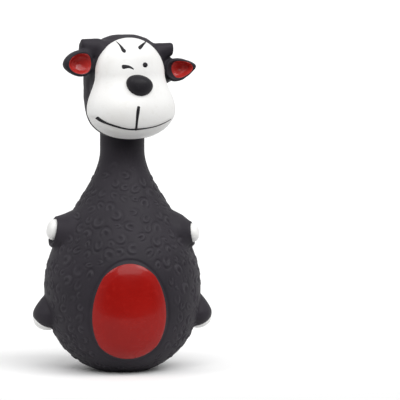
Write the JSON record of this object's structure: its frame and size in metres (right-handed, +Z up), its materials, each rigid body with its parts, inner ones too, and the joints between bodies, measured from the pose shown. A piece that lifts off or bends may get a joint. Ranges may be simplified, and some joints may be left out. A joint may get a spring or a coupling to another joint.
{
  "type": "squeaky dog toy",
  "caption": "Hollow latex squeaky dog toy: a pear-shaped standing animal with a long neck, a white face, red ears and belly, and a reed squeaker in its base.",
  "frame": {"origin": "centre of the standing ring, on the surface that the toy stands on", "axes": "+Z up, -Y the way the trunk faces, +X to the figure's own left, which is the viewer's right"},
  "size_m": [0.0814, 0.0704, 0.1512],
  "materials": {
    "black_latex": "charcoal black latex, satin, with raised wool curls on the trunk",
    "white_latex": "white painted latex, satin",
    "red_latex": "deep red painted latex, semi-gloss",
    "gloss_black_paint": "black paint on latex, semi-gloss",
    "squeaker_plastic": "natural polythene moulding",
    "reed_film": "thin clear-grey polyester strip"
  },
  "bodies": {
    "trunk": {"trunk_skin": "black_latex", "left_hand": "white_latex", "right_hand": "white_latex", "left_sole": "white_latex", "right_sole": "white_latex", "squeaker_housing": "squeaker_plastic", "squeaker_cap": "squeaker_plastic", "reed_block": "squeaker_plastic", "reed_wedge": "squeaker_plastic"},
    "belly": {"belly_patch": "red_latex"},
    "neck": {"neck_skin": "black_latex"},
    "head": {"head_skin": "black_latex", "face_mask": "white_latex", "nose": "gloss_black_paint", "mouth_line": "gloss_black_paint", "lip_line": "gloss_black_paint", "right_eye_wink": "gloss_black_paint", "left_eye": "gloss_black_paint", "left_brow": "gloss_black_paint", "right_brow": "gloss_black_paint"},
    "left_ear": {"left_ear": "black_latex", "left_ear_lining": "red_latex"},
    "right_ear": {"right_ear": "black_latex", "right_ear_lining": "red_latex"},
    "reed": {"reed": "reed_film"}
  },
  "joints": [
    {"name": "neck_sway", "type": "hinge", "parent": "trunk", "child": "neck", "pos_m": [0, 0, 0.0742], "axis": [0, 1, 0], "range_deg": [-12, 12], "stiffness_Nm_per_rad": 0.15},
    {"name": "head_nod", "type": "hinge", "parent": "neck", "child": "head", "pos_m": [0, 0, 0.0938], "axis": [0.9877, 0.1564, 0], "range_deg": [-15, 20], "stiffness_Nm_per_rad": 0.12},
    {"name": "left_ear_flex", "type": "hinge", "parent": "head", "child": "left_ear", "pos_m": [0.01869, -0.00676, 0.1376], "axis": [0, 0, 1], "range_deg": [-15, 15], "stiffness_Nm_per_rad": 0.01},
    {"name": "right_ear_flex", "type": "hinge", "parent": "head", "child": "right_ear", "pos_m": [-0.01568, -0.0122, 0.1376], "axis": [0, 0, 1], "range_deg": [-15, 15], "stiffness_Nm_per_rad": 0.01},
    {"name": "belly_press", "type": "slide", "parent": "trunk", "child": "belly", "axis": [0, 1, 0], "range_m": [0, 0.009], "stiffness_N_per_m": 300},
    {"name": "reed_flex", "type": "hinge", "parent": "trunk", "child": "reed", "pos_m": [0.0003, 0, 0.0055], "axis": [0, -1, 0], "range_deg": [0, 5]}
  ],
  "couplings": [
    {"joint": "reed_flex", "follows": "belly_press", "rad_per_m": 9.69}
  ]
}
